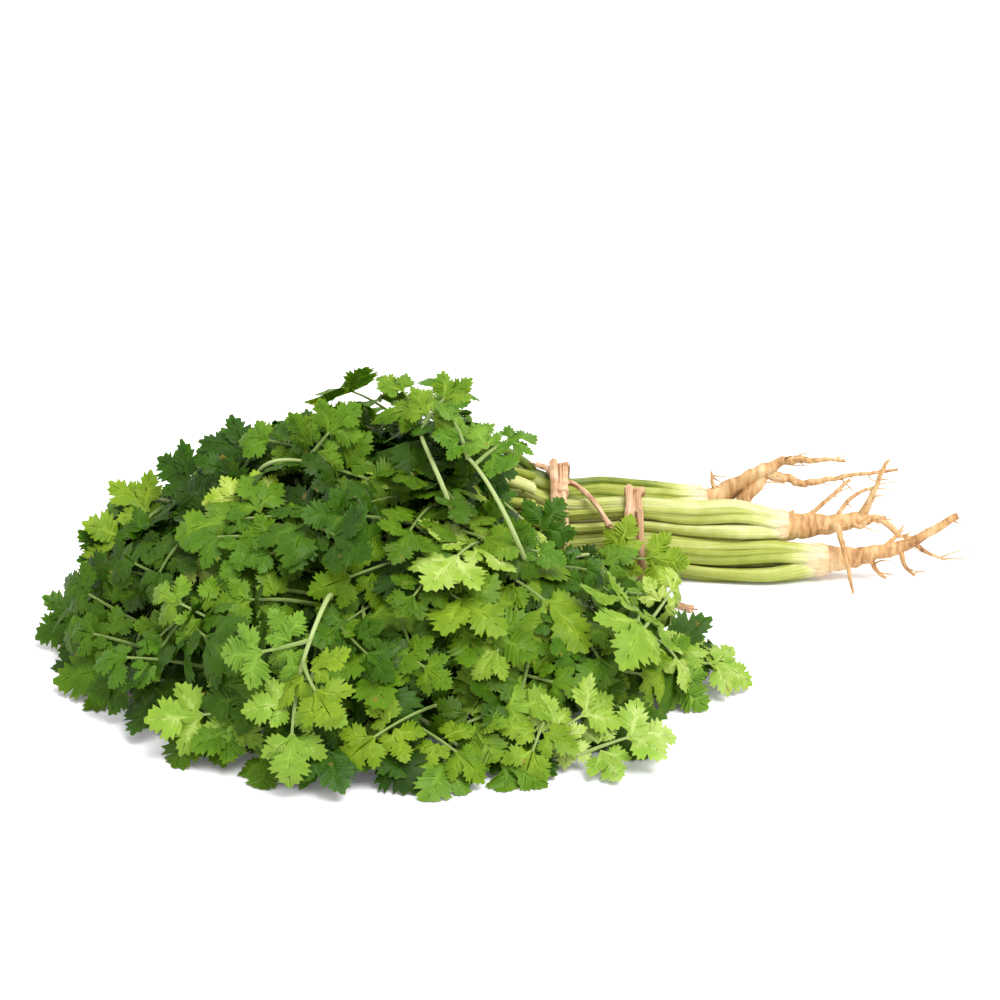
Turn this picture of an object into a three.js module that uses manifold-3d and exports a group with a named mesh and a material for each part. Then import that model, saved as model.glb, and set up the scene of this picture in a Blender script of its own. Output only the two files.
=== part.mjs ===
// A bunch of fresh coriander lying on a table: three plants with their roots, tied round the stalks
// with plant-fibre string, their leafy stems fanned out into one heap. Millimetres, +Z up, the stalks
// along X with the roots towards +X. The origin is on the flat where the front plant's stalks touch
// the table.
import * as THREE from "three";
import { mergeVertices } from "three/addons/utils/BufferGeometryUtils.js";
import Module from "manifold-3d";

const wasm = await Module();
wasm.setup();

// ---- Driving dimensions ----
const STALK_RADIUS = 2.2; // a stalk in the tied bundle
const STALK_SIDES = 5;
const STALK_STEPS = 5;
const SHEATH_RADIUS = 2.6; // the same stalk where it widens into the crown
const CLEARANCE = 0.3; // gap that two touching pieces keep
const TABLE_MARGIN = 0.25; // no leaf comes lower than this
const CROWN_RADIUS = 6.9;
const CROWN_END = 2.9; // from a bundle's first station to its crown's flat end, where the root begins

const STRING_WIDTH = 4.4; // one turn of string, along the stalks
const STRING_THICKNESS = 2.2;
const PAIR_TIE_X = -32; // the string round the front and middle plants
const WHOLE_TIE_X = -61; // the string round all three plants
const BUNDLE_END_X = -75; // where the tied bundles end and the leafy stems begin
const BUNDLE_TWIST = 2.5; // degrees that a bundle turns from one station to the next
const STEM_GAP = 2.2; // between a stalk's end and its leafy stem
const STEM_RADII = [1.7, 1.0];

const BLADE_THICKNESS = 0.7;
const PETIOLE_HALF_WIDTH = 0.7;
const PETIOLE_SHORTEST = 7;
const PETIOLE_LONGEST = 48;
const RACHIS = 13; // from the side leaflets to the end leaflet
const END_LEAFLET = 27; // length of the end leaflet
const SIDE_LEAFLET = 22;

// The heap of leaves: half a rounded shape on the table, given by its centre and its reach on each side.
const HEAP_CENTRE = new THREE.Vector3(-121, -56, 0);
const HEAP_REACH = { left: 135, right: 134, front: 129, back: 98, up: 98 };
const STEM_DEPTH = 46; // a leafy stem ends this far inside the heap's surface
const LEAF_STATIONS = [1, 0.87, 0.74, 0.61]; // where the leaves sit along a leafy stem, its end first
const LEAF_TRIES = 220;
const STEM_TRIES = 60;
const FIRST_DRAW = 36; // sets which of the possible heaps the draws give

const COLOURS = {
  root: 0xd9a869,
  stalk: 0xb7cf6a,
  string: 0xc79a74,
  leaf: 0x4f8a2a,
};

// Each plant's bundle: the centre of the stalks at a few stations, and the radius of the ring they
// stand in. Its leafy stems go out in fans, lowest first: how many, how steeply, and between which
// compass angles.
const PLANTS = [
  {
    name: "front",
    stalks: 8,
    firstAngle: -114,
    bundle: [
      { at: [41, 1, 8.4], ring: 3.1 },
      { at: [22, 1.9, 7], ring: 5.8 },
      { at: [0, 1.9, 6.9], ring: 5.9 },
      { at: [PAIR_TIE_X, 1.2, 11], ring: 5.1 },
      { at: [WHOLE_TIE_X, -1.5, 11.2], ring: 5.3 },
      { at: [BUNDLE_END_X, -5, 12.3], ring: 7.1 },
    ],
    fans: [
      { stems: 6, rise: 3, from: 212, to: 342 },
      { stems: 2, rise: 26, from: 250, to: 318 },
    ],
  },
  {
    name: "middle",
    stalks: 8,
    firstAngle: -114,
    bundle: [
      { at: [26, 10, 18.8], ring: 3.1 },
      { at: [8, 7.6, 21.8], ring: 5.5 },
      { at: [-10, 7.2, 22.2], ring: 5.5 },
      { at: [PAIR_TIE_X, 5.3, 25.5], ring: 4.9 },
      { at: [WHOLE_TIE_X, 2.6, 26], ring: 5.3 },
      { at: [BUNDLE_END_X, 1.5, 31], ring: 7.1 },
    ],
    fans: [
      { stems: 2, rise: 14, from: 180, to: 204 },
      { stems: 3, rise: 40, from: 212, to: 302 },
      { stems: 3, rise: 62, from: 185, to: 330 },
    ],
  },
  {
    name: "back",
    stalks: 9,
    firstAngle: 20,
    bundle: [
      { at: [-3, 49, 12.5], ring: 3.1 },
      { at: [-25, 47, 13], ring: 6.4 },
      { at: [-45, 36, 20], ring: 6.6 },
      { at: [WHOLE_TIE_X, 21, 26], ring: 6.4 },
      { at: [BUNDLE_END_X, 22.5, 28.5], ring: 8.5 },
    ],
    fans: [
      { stems: 3, rise: 6, from: 105, to: 172 },
      { stems: 3, rise: 34, from: 98, to: 178 },
      { stems: 3, rise: 58, from: 30, to: 185 },
    ],
  },
];

// The roots, each a few tapering branches: the points a branch follows, its first and last radius.
const ROOTS = {
  front: [
    { path: [[42, 1, 8.4], [52, 0, 9.4], [62, -1, 12], [76, -1, 17], [93, -2, 28]], radii: [5.4, 1.3] },
    { path: [[60, -1, 10.5], [62, -4, 6], [66, -6, 3.6]], radii: [1.3, 0.6] },
    { path: [[71, -1, 14.5], [73, -5, 8.5], [77, -7, 5]], radii: [1.4, 0.6] },
    { path: [[76, -1, 16.5], [82, -6, 13.5], [88, -8, 12]], radii: [1.3, 0.6] },
    { path: [[66, 0, 14.5], [71, 2, 19], [73, 3, 22]], radii: [1.1, 0.6] },
  ],
  middle: [
    { path: [[27, 10.1, 18.2], [38, 11, 18.4], [50, 11, 19.8], [60, 11, 22]], radii: [5.5, 2.6] },
    { path: [[57, 11, 21.5], [61, 11, 30], [63, 11, 37], [67, 11, 46]], radii: [2, 0.8] },
    { path: [[58, 11, 21.5], [66, 10, 21], [73, 9, 15], [79, 8, 13.5]], radii: [2.1, 0.7] },
    { path: [[47, 11, 20], [51, 12, 27], [56, 12, 32], [62, 12, 33.5]], radii: [1.1, 0.7] },
    { path: [[45, 10, 18], [47, 2, 21], [49, -9.5, 16], [51, -13, 7], [52, -15, 1]], radii: [1.8, 0.7] },
    { path: [[52, 11, 20], [56, 5, 20.5], [60, 4, 24], [66, 4, 25]], radii: [1.4, 0.7] },
  ],
  back: [
    { path: [[-3, 49.2, 11.4], [7, 49, 17], [18, 49, 24], [25, 49, 28]], radii: [5.1, 2.8] },
    { path: [[23, 49, 27], [31, 49, 31], [42, 49, 31], [55, 49, 31]], radii: [2.6, 0.7] },
    { path: [[21, 49, 26], [30, 48, 24], [38, 47, 22], [50, 47, 24], [76, 47, 28]], radii: [2.6, 0.8] },
    { path: [[2, 47.5, 11.5], [9, 44, 11], [16, 45, 17.5], [22, 48, 24.5]], radii: [4, 2.3] },
    { path: [[7, 45, 11], [14, 42, 9], [25, 41, 8], [38, 41, 10], [57, 46, 24]], radii: [2.4, 0.8] },
    { path: [[4, 49, 15], [1.6, 49.5, 22], [1.3, 50, 26]], radii: [1.1, 0.6] },
    { path: [[27, 41, 8], [31, 39, 11.5], [34, 38, 13.6]], radii: [1.1, 0.6] },
  ],
};

// ---- Solids ----
const degrees = (angle) => THREE.MathUtils.degToRad(angle);
const vector = (point) => new THREE.Vector3(...point);

// A repeatable draw from 0 to 1 for three whole numbers.
function draw(a, b, c) {
  const wave = Math.sin(a * 12.9898 + b * 78.233 + c * 37.719) * 43758.5453;
  return wave - Math.floor(wave);
}

// A closed three.js geometry as a manifold-3d solid.
function solidOf(geometry) {
  const bare = geometry.clone();
  bare.deleteAttribute("normal");
  bare.deleteAttribute("uv");
  const merged = mergeVertices(bare, 1e-3);
  return new wasm.Manifold(
    new wasm.Mesh({
      numProp: 3,
      vertProperties: new Float32Array(merged.attributes.position.array),
      triVerts: new Uint32Array(merged.index.array),
    }),
  );
}

function geometryOf(solid) {
  const mesh = solid.getMesh();
  const geometry = new THREE.BufferGeometry();
  geometry.setAttribute("position", new THREE.BufferAttribute(mesh.vertProperties, 3));
  geometry.setIndex(new THREE.BufferAttribute(mesh.triVerts, 1));
  return geometry;
}

const joined = (solids) => solids.reduce((all, one) => all.add(one));

// The largest body of a solid, without loose scraps and with any sealed hollow filled.
const oneBody = (solid) => solid.decompose().reduce((a, b) => (b.volume() > a.volume() ? b : a));

// A tapering round rod along a curve: a cylinder whose rings are set across the curve.
function rodAlong(curve, startRadius, endRadius, sides, steps) {
  const rod = new THREE.CylinderGeometry(startRadius, endRadius, 1, sides, steps);
  const frames = curve.computeFrenetFrames(steps, false);
  const positions = rod.attributes.position;
  for (let i = 0; i < positions.count; i++) {
    const ring = Math.round((0.5 - positions.getY(i)) * steps);
    const point = curve
      .getPointAt(ring / steps)
      .addScaledVector(frames.normals[ring], positions.getX(i))
      .addScaledVector(frames.binormals[ring], positions.getZ(i));
    positions.setXYZ(i, point.x, point.y, point.z);
  }
  return solidOf(rod);
}

// ---- Plants: crown, stalks and root ----
const stalkIndices = (plant) => [...Array(plant.stalks).keys()];

// Place of a stalk across its bundle: one in the middle, the rest in a ring that turns on the way.
function placeInBundle(plant, index, station) {
  const [x, y, z] = station.at;
  const turn = BUNDLE_TWIST * plant.bundle.indexOf(station);
  const angle = degrees(plant.firstAngle + turn + (360 * index) / (plant.stalks - 1));
  const reach = index === plant.stalks - 1 ? 0 : station.ring;
  return new THREE.Vector3(x, y + reach * Math.cos(angle), z + reach * Math.sin(angle));
}

function stalkCurve(plant, index) {
  return new THREE.CatmullRomCurve3(plant.bundle.map((station) => placeInBundle(plant, index, station)));
}

// The crown: the short pale collar that the stalks grow from, turned about X.
function crownSolid(plant) {
  const [x, y, z] = plant.bundle[0].at;
  const profile = [
    [0, -9],
    [0.75 * CROWN_RADIUS, -8],
    [CROWN_RADIUS, -2],
    [CROWN_RADIUS, 1.6],
    [0.9 * CROWN_RADIUS, CROWN_END],
    [0, CROWN_END],
  ].map(([radius, along]) => new THREE.Vector2(radius, along));
  const crown = new THREE.LatheGeometry(profile, 8);
  crown.rotateZ(degrees(-90));
  crown.translate(x, y, z);
  return solidOf(crown);
}

function stalksSolid(plant) {
  const rods = stalkIndices(plant).map((index) =>
    rodAlong(stalkCurve(plant, index), SHEATH_RADIUS, STALK_RADIUS, STALK_SIDES, STALK_STEPS),
  );
  const underTable = new THREE.BoxGeometry(400, 200, 20);
  underTable.translate(0, 0, -10);
  return oneBody(joined([crownSolid(plant), ...rods]).subtract(solidOf(underTable)));
}

// The root's branches, cut square where they meet the crown.
function rootSolid(plant) {
  const rods = ROOTS[plant.name].map(({ path, radii }) => {
    const curve = new THREE.CatmullRomCurve3(path.map(vector));
    return rodAlong(curve, radii[0], radii[1], radii[0] > 2 ? 6 : 4, path.length + 1);
  });
  const crown = new THREE.BoxGeometry(40, 40, 40);
  const [x, y, z] = plant.bundle[0].at;
  crown.translate(x + CROWN_END + CLEARANCE - 20, y, z);
  return oneBody(joined(rods).subtract(solidOf(crown)));
}

// ---- Strings ----
// Where a plant's stalks pass a place along X, as circles across it.
function stalkSections(name, x) {
  const plant = PLANTS.find((one) => one.name === name);
  return stalkIndices(plant).map((index) => {
    const rings = stalkCurve(plant, index).getSpacedPoints(STALK_STEPS);
    const after = rings.findIndex((ring) => ring.x < x);
    const [a, b] = [rings[after - 1], rings[after]];
    const point = a.clone().lerp(b, (a.x - x) / (a.x - b.x));
    return { centre: new THREE.Vector2(point.y, point.z), radius: SHEATH_RADIUS };
  });
}

// The loop that string pulled tight takes round several bundles, at an angle seen from its middle.
function loopPoint(circles, angle, slack) {
  const out = new THREE.Vector2(Math.cos(angle), Math.sin(angle));
  const outermost = circles.reduce((best, circle) =>
    circle.centre.dot(out) + circle.radius > best.centre.dot(out) + best.radius ? circle : best,
  );
  return outermost.centre.clone().addScaledVector(out, outermost.radius + slack);
}

// One turn of string: a ring bent onto the loop.
function turnSolid(circles, x, slant) {
  const steps = 20;
  const ring = new THREE.TorusGeometry(10, 1, 4, steps);
  const positions = ring.attributes.position;
  for (let i = 0; i < positions.count; i++) {
    const angle = Math.atan2(positions.getY(i), positions.getX(i));
    const outward = Math.hypot(positions.getX(i), positions.getY(i)) - 10;
    const slack = 2 * CLEARANCE + (1 + outward) * STRING_THICKNESS * 0.5;
    const point = loopPoint(circles, angle, slack);
    const along = x + (positions.getZ(i) * STRING_WIDTH) / 2 + slant * Math.sin(angle);
    positions.setXYZ(i, along, point.x, point.y);
  }
  const turn = solidOf(ring);
  return turn.volume() > 0 ? turn : solidOf(flipped(ring));
}

function flipped(geometry) {
  const mirrored = geometry.clone();
  const index = mirrored.index.array;
  for (let i = 0; i < index.length; i += 3) [index[i + 1], index[i + 2]] = [index[i + 2], index[i + 1]];
  return mirrored;
}

function tieSolid({ names, x, knotAngle, knotRadii, tails }) {
  const places = [-1.3, -0.6, 0, 0.6, 1.3].map((share) => x + share * STRING_WIDTH);
  const circles = names.flatMap((name) => places.flatMap((place) => stalkSections(name, place)));
  const knotAt = loopPoint(circles, degrees(knotAngle), STRING_THICKNESS);
  const knot = new THREE.SphereGeometry(1, 7, 5);
  knot.scale(...knotRadii);
  knot.translate(x, knotAt.x, knotAt.y);
  const rods = tails.map((path) => {
    const points = [[x, knotAt.x, knotAt.y], ...path];
    const curve = new THREE.CatmullRomCurve3(points.map(vector));
    return rodAlong(curve, STRING_THICKNESS * 0.62, STRING_THICKNESS * 0.5, 4, 6);
  });
  const turns = [-0.53, 0.53].map((share) => turnSolid(circles, x + share * STRING_WIDTH, 0.8));
  return oneBody(joined([...turns, solidOf(knot), ...rods]));
}

const TIES = {
  tie_whole: {
    names: ["front", "middle", "back"],
    x: WHOLE_TIE_X,
    knotAngle: 100,
    knotRadii: [3.6, 3.4, 2.6],
    tails: [
      [[-57, 16, 34.5], [-52, 4, 36.2], [-47, -4, 33.5], [-42, -9.5, 27]],
      [[-66, 22, 38.5], [-70, 23, 39.5]],
    ],
  },
  tie_pair: {
    names: ["front", "middle"],
    x: PAIR_TIE_X,
    knotAngle: 205,
    knotRadii: [3.6, 2.6, 3.4],
    tails: [
      [[-29, -12, 5.5], [-24, -18, 2.2], [-18, -25, 1.5], [-11, -31, 1.6]],
      [[-37, -12.5, 4.5], [-42, -16.5, 1.9]],
    ],
  },
};

// ---- Leafy stems ----
// Outline of a leaflet round its base, lobes and cuts: angles from its heading, shares of its length.
const END_EDGE = [
  [-90, 0.6],
  [-62, 0.88],
  [-38, 0.88],
  [-23, 0.52],
  [0, 1],
  [23, 0.52],
  [38, 0.88],
  [62, 0.88],
  [90, 0.6],
];
const SIDE_EDGE = [
  [-56, 0.8],
  [-24, 0.96],
  [-8, 0.56],
  [12, 1],
  [42, 0.92],
];
const SIDE_HEADING = 94;

function leafletPoints(edge, baseX, baseY, heading, length) {
  return edge.map(([angle, share]) => {
    const turn = degrees(heading + angle);
    const reach = share * length;
    return new THREE.Vector2(baseX + reach * Math.cos(turn), baseY + reach * Math.sin(turn));
  });
}

// A leaf of three leaflets cut from one blade, stalk included: x runs from the stem outwards.
function leafOutline(petiole, size) {
  const w = PETIOLE_HALF_WIDTH;
  const end = petiole + RACHIS * size;
  const side = SIDE_LEAFLET * size;
  const right = [
    new THREE.Vector2(-0.5, -w),
    new THREE.Vector2(petiole - 1.4, -w),
    ...leafletPoints(SIDE_EDGE, petiole, -w, -SIDE_HEADING, side),
    new THREE.Vector2(petiole + 1.4, -w),
    new THREE.Vector2(end - 1.4, -w),
  ];
  const left = [
    new THREE.Vector2(end - 1.4, w),
    new THREE.Vector2(petiole + 1.4, w),
    ...leafletPoints(SIDE_EDGE, petiole, w, SIDE_HEADING, side),
    new THREE.Vector2(petiole - 1.4, w),
    new THREE.Vector2(-0.5, w),
  ];
  return new THREE.Shape([...right, ...leafletPoints(END_EDGE, end, 0, 0, END_LEAFLET * size), ...left]);
}

// The leaf's blade, bent down evenly from half way along its stalk to its tip, and cupped across.
function leafSolid(leaf) {
  const blade = new THREE.ExtrudeGeometry(leafOutline(leaf.petiole, leaf.size), {
    depth: BLADE_THICKNESS,
    bevelEnabled: false,
  });
  const bendStart = 0.5 * leaf.petiole;
  const bendLength = bendStart + (RACHIS + END_LEAFLET) * leaf.size;
  const positions = blade.attributes.position;
  for (let i = 0; i < positions.count; i++) {
    const x = positions.getX(i);
    const y = positions.getY(i);
    const height = positions.getZ(i) - BLADE_THICKNESS / 2 + (leaf.cup * y * y) / bendLength;
    const turn = (leaf.bend * Math.max(0, x - bendStart)) / bendLength;
    const radius = bendLength / leaf.bend;
    const flat = Math.min(x, bendStart);
    positions.setX(i, flat + (radius + height) * Math.sin(turn));
    positions.setZ(i, (radius + height) * Math.cos(turn) - radius);
  }
  blade.applyMatrix4(leaf.pose);
  return solidOf(blade);
}

// How far the heap's surface is from its centre in a direction.
function heapReach(direction) {
  const { left, right, front, back, up } = HEAP_REACH;
  const across = direction.x / (direction.x < 0 ? left : right);
  const deep = direction.y / (direction.y < 0 ? front : back);
  return 1 / Math.hypot(across, deep, direction.z / up);
}

// Each stalk's direction in the heap: low stalks take the low fans, and near stalks the near side.
function fanOut(plant) {
  const end = plant.bundle[plant.bundle.length - 1];
  const stalks = stalkIndices(plant).map((index) => ({ index, at: placeInBundle(plant, index, end) }));
  stalks.sort((a, b) => a.at.z - b.at.z);
  return plant.fans.flatMap(({ stems, rise, from, to }) => {
    const fan = stalks.splice(0, stems).sort((a, b) => b.at.y - a.at.y);
    return fan.map(({ index, at }, place) => {
      const compass = degrees(THREE.MathUtils.lerp(from, to, place / (fan.length - 1)));
      const level = new THREE.Vector3(Math.cos(compass), Math.sin(compass), 0);
      const direction = level.clone().multiplyScalar(Math.cos(degrees(rise)));
      direction.z = Math.sin(degrees(rise));
      return { index, at, level, direction };
    });
  });
}

// The curve of a leafy stem: out of the bundle, up over the heap and down to its place.
function stemCurve(plant, { at, level, direction }, seed, attempt) {
  const centre = vector(plant.bundle[plant.bundle.length - 1].at);
  const start = at.clone();
  start.x -= STEM_GAP;
  const away = start.clone().sub(centre);
  const wander = (n) => (draw(seed, n, attempt) - 0.5) * (4 + attempt);
  const tip = HEAP_CENTRE.clone().addScaledVector(direction, heapReach(direction) - STEM_DEPTH);
  tip.add(new THREE.Vector3(wander(1), wander(2), Math.abs(wander(3)) + 6));
  const first = start.clone().add(new THREE.Vector3(-24, 1.6 * away.y, 1.6 * away.z + 4));
  first.add(new THREE.Vector3(0, wander(4), wander(5)));
  const second = tip.clone().addScaledVector(level, -26).addScaledVector(direction, -6);
  second.add(new THREE.Vector3(wander(6), wander(7), 12 + Math.abs(wander(8))));
  return new THREE.CubicBezierCurve3(start, first, second, tip);
}

// A leaf's pose, size and bend on its stem, for one attempt. It rises from the stem to the heap's
// surface and bends to lie along it; later attempts range further and stay deeper. Low leaves lie
// flatter on the table.
function leafOn(stem, station, attempt) {
  const pick = (n) => draw(stem.seed, station + 1, n + 11 * attempt);
  const swing = (n) => 2 * pick(n) - 1;
  const range = Math.min(1, attempt / 80);
  const share = LEAF_STATIONS[station] - (station ? 0.14 * range * pick(8) : 0);
  const root = stem.curve.getPoint(share);
  const along = stem.curve.getTangent(share);
  const out = root.clone().sub(HEAP_CENTRE);
  const outward = out.clone().normalize();
  const depth = heapReach(outward) - out.length();
  const flatness = THREE.MathUtils.clamp(2.3 - root.z / 15, 0.3, 2.2);
  out.z = Math.max(out.z + 8, flatness * Math.hypot(out.x, out.y));
  out.normalize();
  const side = new THREE.Vector3().crossVectors(out, along).normalize();
  const hand = (station + stem.index) % 2 ? 1 : -1;
  const surface = along.clone().multiplyScalar(station ? 0.5 : 1);
  surface.addScaledVector(side, (station ? hand * 0.9 : 0) + (0.35 + 0.9 * range) * swing(1));
  surface.addScaledVector(out, -surface.dot(out)).normalize();
  const lift = degrees(station ? 40 + (16 + 14 * range) * swing(2) : 26 + 14 * swing(2));
  const heading = surface.clone().multiplyScalar(Math.cos(lift)).addScaledVector(out, Math.sin(lift));
  const normal = out.clone().multiplyScalar(Math.cos(lift)).addScaledVector(surface, -Math.sin(lift));
  const across = new THREE.Vector3().crossVectors(normal, heading);
  const roll = degrees((20 + 30 * range) * swing(3));
  normal.multiplyScalar(Math.cos(roll)).addScaledVector(across, Math.sin(roll));
  across.crossVectors(normal, heading);
  const size = (station ? 0.88 : 1) * (0.88 + 0.26 * pick(5)) * (1 - 0.2 * range);
  const rise = (depth - 3 - 30 * range * pick(4)) / Math.max(0.4, heading.dot(outward));
  const petiole = rise - 0.85 * (RACHIS + END_LEAFLET) * size;
  return {
    pose: new THREE.Matrix4().makeBasis(heading, across, normal).setPosition(root),
    size,
    petiole: THREE.MathUtils.clamp(petiole, PETIOLE_SHORTEST, PETIOLE_LONGEST),
    bend: lift * (0.6 + 0.9 * pick(6)) + 0.12,
    cup: 0.6 * swing(7),
  };
}

// True where a solid stays above the table and doesn't hide the tied stalks from the front.
function inBounds(solid) {
  if (solid.boundingBox().min[2] < TABLE_MARGIN) return false;
  const { vertProperties, numProp } = solid.getMesh();
  for (let i = 0; i < vertProperties.length; i += numProp) {
    const [x, y, z] = vertProperties.subarray(i, i + 3);
    if (x > BUNDLE_END_X && z + 0.42 * y > 20 - 0.5 * (x - BUNDLE_END_X)) return false;
  }
  return true;
}

const boxesMeet = (a, b) =>
  [0, 1, 2].every((i) => a.min[i] < b.max[i] + CLEARANCE && b.min[i] < a.max[i] + CLEARANCE);

function isClear(solid, others) {
  const box = solid.boundingBox();
  return others.every((other) => !boxesMeet(box, other.box) || solid.minGap(other.solid, 1) > CLEARANCE);
}

const boxed = (solid) => ({ solid, box: solid.boundingBox() });

// ---- Assembly ----
const bunch = new THREE.Group();

function addPiece(name, solid, colour, roughness) {
  const material = new THREE.MeshStandardMaterial({ color: colour, roughness, metalness: 0 });
  const mesh = new THREE.Mesh(geometryOf(solid), material);
  mesh.name = name;
  bunch.add(mesh);
}

const placed = [];
for (const plant of PLANTS) {
  const stalks = stalksSolid(plant);
  const root = rootSolid(plant);
  addPiece(`stalks_${plant.name}`, stalks, COLOURS.stalk, 0.55);
  addPiece(`root_${plant.name}`, root, COLOURS.root, 0.8);
  placed.push(boxed(stalks), boxed(root));
}
for (const [name, tie] of Object.entries(TIES)) {
  const solid = tieSolid(tie);
  addPiece(name, solid, COLOURS.string, 0.9);
  placed.push(boxed(solid));
}

// The first attempt that suits its neighbours, or nothing.
function firstClear(tries, others, make) {
  for (let attempt = 0; attempt < tries; attempt++) {
    const piece = make(attempt);
    if (inBounds(piece.solid) && isClear(piece.solid, others)) return piece;
  }
  return undefined;
}

const stems = [];
PLANTS.forEach((plant, plantIndex) => {
  for (const route of fanOut(plant)) {
    const seed = FIRST_DRAW + 10 * plantIndex + route.index;
    const stem = firstClear(STEM_TRIES, placed, (attempt) => {
      const curve = stemCurve(plant, route, seed, attempt);
      return { curve, solid: rodAlong(curve, ...STEM_RADII, 5, 6) };
    });
    if (!stem) continue;
    const name = `spray_${plant.name}_${route.index + 1}`;
    stems.push({ ...stem, name, index: route.index, seed, leaves: [] });
    placed.push(boxed(stem.solid));
  }
});

for (const station of LEAF_STATIONS.keys()) {
  for (const stem of stems) {
    const others = placed.filter(({ solid }) => solid !== stem.solid);
    const leaf = firstClear(LEAF_TRIES, others, (attempt) => ({
      solid: leafSolid(leafOn(stem, station, attempt)),
    }));
    if (!leaf) continue;
    stem.leaves.push(leaf.solid);
    placed.push(boxed(leaf.solid));
  }
}

for (const stem of stems) {
  const spray = oneBody(joined([stem.solid, ...stem.leaves]));
  addPiece(stem.name, spray, COLOURS.leaf, 0.5);
}

export default bunch;
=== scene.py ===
from cmath import rect
from math import copysign, cos, exp, floor, hypot, pi, radians, sin, sqrt

import bmesh
import bpy
from mathutils import Matrix, Vector, kdtree, noise


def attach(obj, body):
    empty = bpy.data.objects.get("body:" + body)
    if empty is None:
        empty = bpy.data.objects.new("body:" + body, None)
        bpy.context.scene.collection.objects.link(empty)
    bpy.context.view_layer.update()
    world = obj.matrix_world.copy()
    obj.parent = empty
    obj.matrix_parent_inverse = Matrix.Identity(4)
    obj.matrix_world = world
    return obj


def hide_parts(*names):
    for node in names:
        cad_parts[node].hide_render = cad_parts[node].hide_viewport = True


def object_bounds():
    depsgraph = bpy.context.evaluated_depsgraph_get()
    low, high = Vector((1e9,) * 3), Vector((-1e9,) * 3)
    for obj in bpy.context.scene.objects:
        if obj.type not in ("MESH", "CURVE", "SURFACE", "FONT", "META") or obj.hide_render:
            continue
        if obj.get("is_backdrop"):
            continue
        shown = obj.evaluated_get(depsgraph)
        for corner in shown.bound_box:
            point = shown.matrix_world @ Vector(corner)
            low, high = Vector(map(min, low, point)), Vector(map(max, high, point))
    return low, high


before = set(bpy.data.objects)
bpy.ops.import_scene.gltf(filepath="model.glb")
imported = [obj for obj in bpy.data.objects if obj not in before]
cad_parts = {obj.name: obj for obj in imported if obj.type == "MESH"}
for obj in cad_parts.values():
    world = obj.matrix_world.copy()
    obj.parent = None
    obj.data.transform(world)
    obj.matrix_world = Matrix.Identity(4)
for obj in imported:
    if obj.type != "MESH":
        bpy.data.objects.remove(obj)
cad_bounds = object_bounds()


# ---- Stalks ----
# The stalks of three coriander plants, 8 or 9 to a plant: round, finely ribbed, grass green, paler where
# they widen into overlapping sheaths round the cream crown. They grow from the crown and lie side by side.
MM = 0.001
TABLE_GAP = 0.05
STALK_RADIUS = 2.2
STALK_SIDES = 28
STALK_STEPS = 40
PAIR_TIE_X = -32
WHOLE_TIE_X = -61
BUNDLE_END_X = -75
BUNDLE_TWIST = 2.5
# In millimetres and degrees. A bundle's stations are (middle, radius of its ring of stalks). A fan of
# leafy stems is (how many, how steeply they rise, compass of its first, compass of its last). Tones go
# from 0 to 1 along a material's own colours.
PLANTS = [
    {
        "name": "front",
        "stalks": 8,
        "first_angle": -114,
        "bundle": [
            ((41, 1, 8.4), 3.1), ((22, 1.9, 7), 5.8), ((0, 1.9, 6.9), 5.9),
            ((PAIR_TIE_X, 1.2, 11), 5.1), ((WHOLE_TIE_X, -1.5, 11.2), 5.3),
            ((BUNDLE_END_X, -5, 12.3), 7.1),
        ],
        "fans": [(6, 3, 212, 342), (2, 26, 250, 318)],
        "tone": 0.53,
        "stalk_tone": 0.40,
    },
    {
        "name": "middle",
        "stalks": 8,
        "first_angle": -114,
        "bundle": [
            ((26, 10, 18.8), 3.1), ((8, 7.6, 21.8), 5.5), ((-10, 7.2, 22.2), 5.5),
            ((PAIR_TIE_X, 5.3, 25.5), 4.9), ((WHOLE_TIE_X, 2.6, 26), 5.3),
            ((BUNDLE_END_X, 1.5, 31), 7.1),
        ],
        "fans": [(2, 14, 180, 204), (3, 40, 212, 302), (3, 62, 185, 330)],
        "tone": 0.41,
        "stalk_tone": 0.24,
    },
    {
        "name": "back",
        "stalks": 9,
        "first_angle": 20,
        "bundle": [
            ((-3, 49, 12.5), 3.1), ((-25, 47, 13), 6.4), ((-45, 36, 20), 6.6),
            ((WHOLE_TIE_X, 21, 26), 6.4), ((BUNDLE_END_X, 22.5, 28.5), 8.5),
        ],
        "fans": [(3, 6, 105, 172), (3, 34, 98, 178), (3, 58, 30, 185)],
        "tone": 0.43,
        "stalk_tone": 0.64,
    },
]


def draw(a, b, c):
    """A repeatable draw from 0 to 1 for three whole numbers."""
    wave = sin(a * 12.9898 + b * 78.233 + c * 37.719) * 43758.5453
    return wave - floor(wave)


def clamp(value, low, high):
    return max(low, min(high, value))


def place_in_bundle(plant, index, station, spread=1.0):
    """Where a stalk passes a station of its bundle: the last in the middle, the others in a ring."""
    (x, y, z), ring = plant["bundle"][station]
    turn = BUNDLE_TWIST * station
    angle = radians(plant["first_angle"] + turn + 360 * index / (plant["stalks"] - 1))
    reach = 0 if index == plant["stalks"] - 1 else ring * spread
    return Vector((x, y + reach * cos(angle), z + reach * sin(angle)))


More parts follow.
